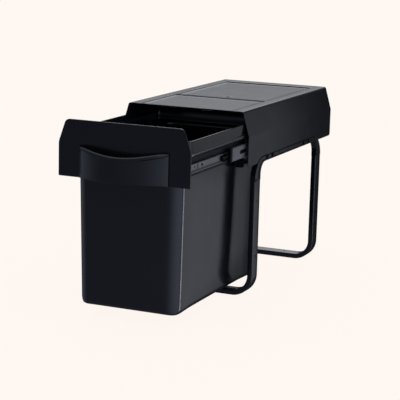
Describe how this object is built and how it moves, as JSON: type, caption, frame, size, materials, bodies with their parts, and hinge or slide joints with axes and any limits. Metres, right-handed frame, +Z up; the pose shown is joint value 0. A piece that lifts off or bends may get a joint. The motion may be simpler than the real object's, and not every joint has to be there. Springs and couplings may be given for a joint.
{
  "type": "pull-out waste bin",
  "caption": "Pull-out waste bin for a base cabinet: steel hood on tube legs, ball-bearing slides, hanging bucket and handled front plate.",
  "frame": {"origin": "centre of the front floor bar's underside, on the floor of the cabinet", "axes": "+X across to the right seen from the front, +Y to the back of the cabinet, +Z up; the drawer opens along -Y"},
  "size_m": [0.2522, 0.7178, 0.344],
  "materials": {
    "black_paint": "fine satin powder coat, black",
    "slide_steel": "dark zinc plating, satin",
    "ball_steel": "bright steel balls in a plated cage",
    "screw_steel": "black-oxide screws",
    "bucket_plastic": "semi-gloss moulded polypropylene, near black",
    "handle_plastic": "satin moulded plastic, near black",
    "black_plastic": "matt black nylon"
  },
  "bodies": {
    "frame": {"cover_hood": "black_paint", "front_leg": "black_paint", "rear_leg": "black_paint", "left_side_rail": "black_paint", "right_side_rail": "black_paint", "left_slide_bracket": "black_paint", "right_slide_bracket": "black_paint", "left_guide_block": "black_plastic", "right_guide_block": "black_plastic", "left_rail_screw_1": "screw_steel", "right_rail_screw_1": "screw_steel", "left_rail_screw_2": "screw_steel", "right_rail_screw_2": "screw_steel", "left_rail_screw_3": "screw_steel", "right_rail_screw_3": "screw_steel", "left_rail_screw_4": "screw_steel", "right_rail_screw_4": "screw_steel", "left_outer_slide": "slide_steel", "right_outer_slide": "slide_steel"},
    "drawer": {"left_inner_slide": "slide_steel", "right_inner_slide": "slide_steel", "left_lever_pin": "screw_steel", "right_lever_pin": "screw_steel", "left_carrier_rail": "black_paint", "right_carrier_rail": "black_paint", "left_slide_screw_1": "screw_steel", "right_slide_screw_1": "screw_steel", "left_slide_screw_2": "screw_steel", "right_slide_screw_2": "screw_steel", "carrier_front": "black_paint", "carrier_back": "black_paint", "front_plate": "black_paint", "plate_screw_1": "screw_steel", "plate_screw_2": "screw_steel", "plate_screw_3": "screw_steel", "plate_screw_4": "screw_steel", "handle": "handle_plastic", "handle_screw_1": "screw_steel", "handle_screw_2": "screw_steel"},
    "bucket": {"bucket": "bucket_plastic"},
    "left_middle": {"left_middle_slide": "slide_steel", "left_middle_stop": "black_plastic"},
    "left_outer_cage": {"left_outer_ball_cage": "ball_steel"},
    "left_inner_cage": {"left_inner_ball_cage": "ball_steel"},
    "left_lever": {"left_release_lever": "black_plastic"},
    "right_middle": {"right_middle_slide": "slide_steel", "right_middle_stop": "black_plastic"},
    "right_outer_cage": {"right_outer_ball_cage": "ball_steel"},
    "right_inner_cage": {"right_inner_ball_cage": "ball_steel"},
    "right_lever": {"right_release_lever": "black_plastic"}
  },
  "joints": [
    {"name": "drawer_slide", "type": "slide", "parent": "frame", "child": "drawer", "axis": [0, -1, 0], "range_m": [-0.239, 0.11]},
    {"name": "bucket_lift", "type": "slide", "parent": "drawer", "child": "bucket", "axis": [0, 0, 1], "range_m": [0, 0.005]},
    {"name": "left_middle_slide", "type": "slide", "parent": "frame", "child": "left_middle", "axis": [0, -1, 0], "range_m": [-0.0698, 0.0324]},
    {"name": "left_outer_cage_slide", "type": "slide", "parent": "frame", "child": "left_outer_cage", "axis": [0, -1, 0], "range_m": [-0.0352, 0.0164]},
    {"name": "left_inner_cage_slide", "type": "slide", "parent": "frame", "child": "left_inner_cage", "axis": [0, -1, 0], "range_m": [-0.1547, 0.0714]},
    {"name": "left_lever_pivot", "type": "hinge", "parent": "drawer", "child": "left_lever", "pos_m": [-0.113, -0.112, 0.2755], "axis": [1, 0, 0], "range_deg": [-5, 0], "stiffness_Nm_per_rad": 0.05},
    {"name": "right_middle_slide", "type": "slide", "parent": "frame", "child": "right_middle", "axis": [0, -1, 0], "range_m": [-0.0698, 0.0324]},
    {"name": "right_outer_cage_slide", "type": "slide", "parent": "frame", "child": "right_outer_cage", "axis": [0, -1, 0], "range_m": [-0.0352, 0.0164]},
    {"name": "right_inner_cage_slide", "type": "slide", "parent": "frame", "child": "right_inner_cage", "axis": [0, -1, 0], "range_m": [-0.1547, 0.0714]},
    {"name": "right_lever_pivot", "type": "hinge", "parent": "drawer", "child": "right_lever", "pos_m": [0.113, -0.112, 0.2755], "axis": [1, 0, 0], "range_deg": [-5, 0], "stiffness_Nm_per_rad": 0.05}
  ],
  "couplings": [
    {"joint": "left_middle_slide", "follows": "drawer_slide", "ratio": 0.29},
    {"joint": "left_outer_cage_slide", "follows": "drawer_slide", "ratio": 0.145},
    {"joint": "left_inner_cage_slide", "follows": "drawer_slide", "ratio": 0.645},
    {"joint": "right_middle_slide", "follows": "drawer_slide", "ratio": 0.29},
    {"joint": "right_outer_cage_slide", "follows": "drawer_slide", "ratio": 0.145},
    {"joint": "right_inner_cage_slide", "follows": "drawer_slide", "ratio": 0.645}
  ]
}
